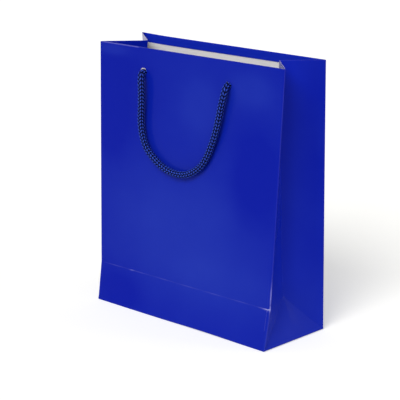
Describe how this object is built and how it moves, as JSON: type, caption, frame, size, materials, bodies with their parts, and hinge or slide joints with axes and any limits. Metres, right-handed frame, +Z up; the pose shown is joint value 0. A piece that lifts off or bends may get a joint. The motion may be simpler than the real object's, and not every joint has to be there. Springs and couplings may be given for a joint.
{
  "type": "laminated paper carrier bag",
  "caption": "Glossy laminated paper carrier bag with folded gussets, turned-in rim, stiffening boards and two braided cord handles; stands open to carry goods.",
  "frame": {"origin": "centre of the underside of the base, where the bag stands", "axes": "+Z up from the base to the mouth, +X along the wide panels, -Y out of the front panel"},
  "size_m": [0.2548, 0.106, 0.3],
  "materials": {
    "laminated_paper": "royal blue print under clear gloss film, white inside and at cut edges",
    "rim_board": "uncoated pale grey-white board",
    "base_board": "uncoated pale grey-white board",
    "braided_cord": "navy braided fibre with a slight sheen"
  },
  "bodies": {
    "root": {"folded_sheet": "laminated_paper", "front_rim_board": "rim_board", "back_rim_board": "rim_board", "base_board": "base_board", "front_handle_cord": "braided_cord", "back_handle_cord": "braided_cord"}
  },
  "joints": []
}
